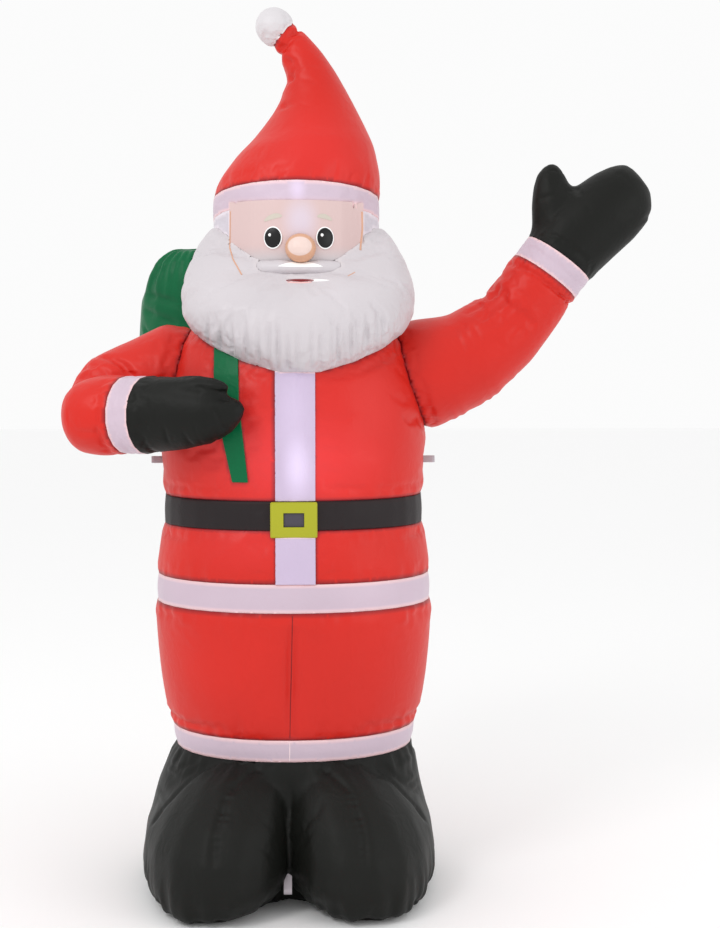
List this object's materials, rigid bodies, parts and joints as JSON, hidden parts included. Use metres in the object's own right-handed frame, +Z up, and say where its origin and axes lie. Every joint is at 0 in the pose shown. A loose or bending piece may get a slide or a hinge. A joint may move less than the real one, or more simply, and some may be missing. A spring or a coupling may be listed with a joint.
{
  "type": "inflatable santa",
  "caption": "Tall inflatable santa of sewn polyester, one mitten raised to wave and the other holding the strap of a green sack; stands on flat-bottomed boots.",
  "frame": {"origin": "on the flat underside of the boots, under the middle of the body", "axes": "+Z up, the figure faces -Y, its waving arm is towards +X"},
  "size_m": [1.587, 1.017, 2.4],
  "materials": {
    "red_polyester": "thin satin-woven red polyester held out by air, soft sheen",
    "white_polyester": "thin white polyester, slightly translucent, faint lilac tone",
    "black_polyester": "thin black polyester with soft wrinkles and sheen",
    "skin_polyester": "thin pale skin-coloured polyester",
    "nose_polyester": "tan polyester",
    "green_satin": "shiny green satin polyester",
    "yellow_vinyl": "yellow-green vinyl patch",
    "grey_vinyl": "dark grey vinyl patch",
    "eye_black": "black polyester patch with a white glint and rim",
    "mouth_red": "dark red polyester",
    "webbing": "light grey woven webbing",
    "blower_plastic": "moulded dark plastic"
  },
  "bodies": {
    "root": {"boots": "black_polyester", "trouser_cuffs": "white_polyester", "trousers": "red_polyester", "coat_hem": "white_polyester", "coat_skirt": "red_polyester", "belt": "black_polyester", "coat": "red_polyester", "placket_upper": "white_polyester", "placket_lower": "white_polyester", "buckle": "yellow_vinyl", "buckle_centre": "grey_vinyl", "sleeve_raised": "red_polyester", "cuff_raised": "white_polyester", "mitten_raised": "black_polyester", "sleeve_bent": "red_polyester", "cuff_bent": "white_polyester", "mitten_bent": "black_polyester", "head": "white_polyester", "face": "skin_polyester", "eye_left": "eye_black", "eye_right": "eye_black", "nose": "nose_polyester", "mouth": "mouth_red", "moustache": "white_polyester", "beard": "white_polyester", "hat_band": "white_polyester", "hat": "red_polyester", "pompom": "white_polyester", "sack": "green_satin", "sack_strap": "green_satin", "tether_loop_left": "webbing", "tether_loop_right": "webbing", "stake_loop": "webbing", "blower_rim": "blower_plastic", "blower_grille": "blower_plastic"}
  },
  "joints": []
}
